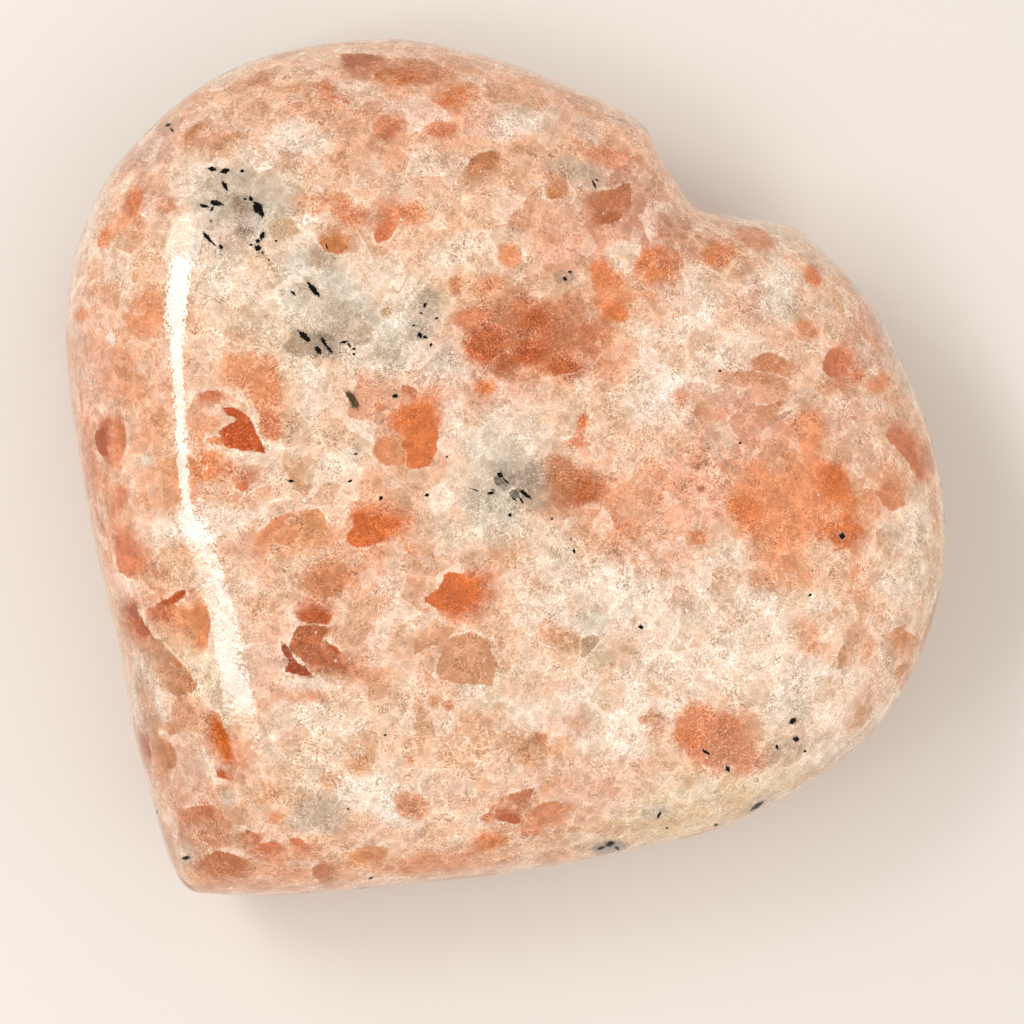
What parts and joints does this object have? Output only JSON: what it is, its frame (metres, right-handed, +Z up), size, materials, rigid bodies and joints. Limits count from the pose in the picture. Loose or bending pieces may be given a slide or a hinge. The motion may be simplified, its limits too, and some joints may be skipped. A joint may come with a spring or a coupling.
{
  "type": "sunstone heart",
  "caption": "Polished natural stone heart, hand-sized, with a domed front, a rounded edge, a shallow notch and a flat back to rest on; a keepsake or palm stone.",
  "frame": {"origin": "middle of the heart's box in X and Y, on the plane of its flat back", "axes": "+Z up, out of the domed front; +Y from the tip to the notch; +X to the right lobe as seen from above the front with the notch away from the viewer"},
  "size_m": [0.0724, 0.0679, 0.024],
  "materials": {
    "heart": "polished"
  },
  "bodies": {
    "root": {"heart": "heart"}
  },
  "joints": []
}
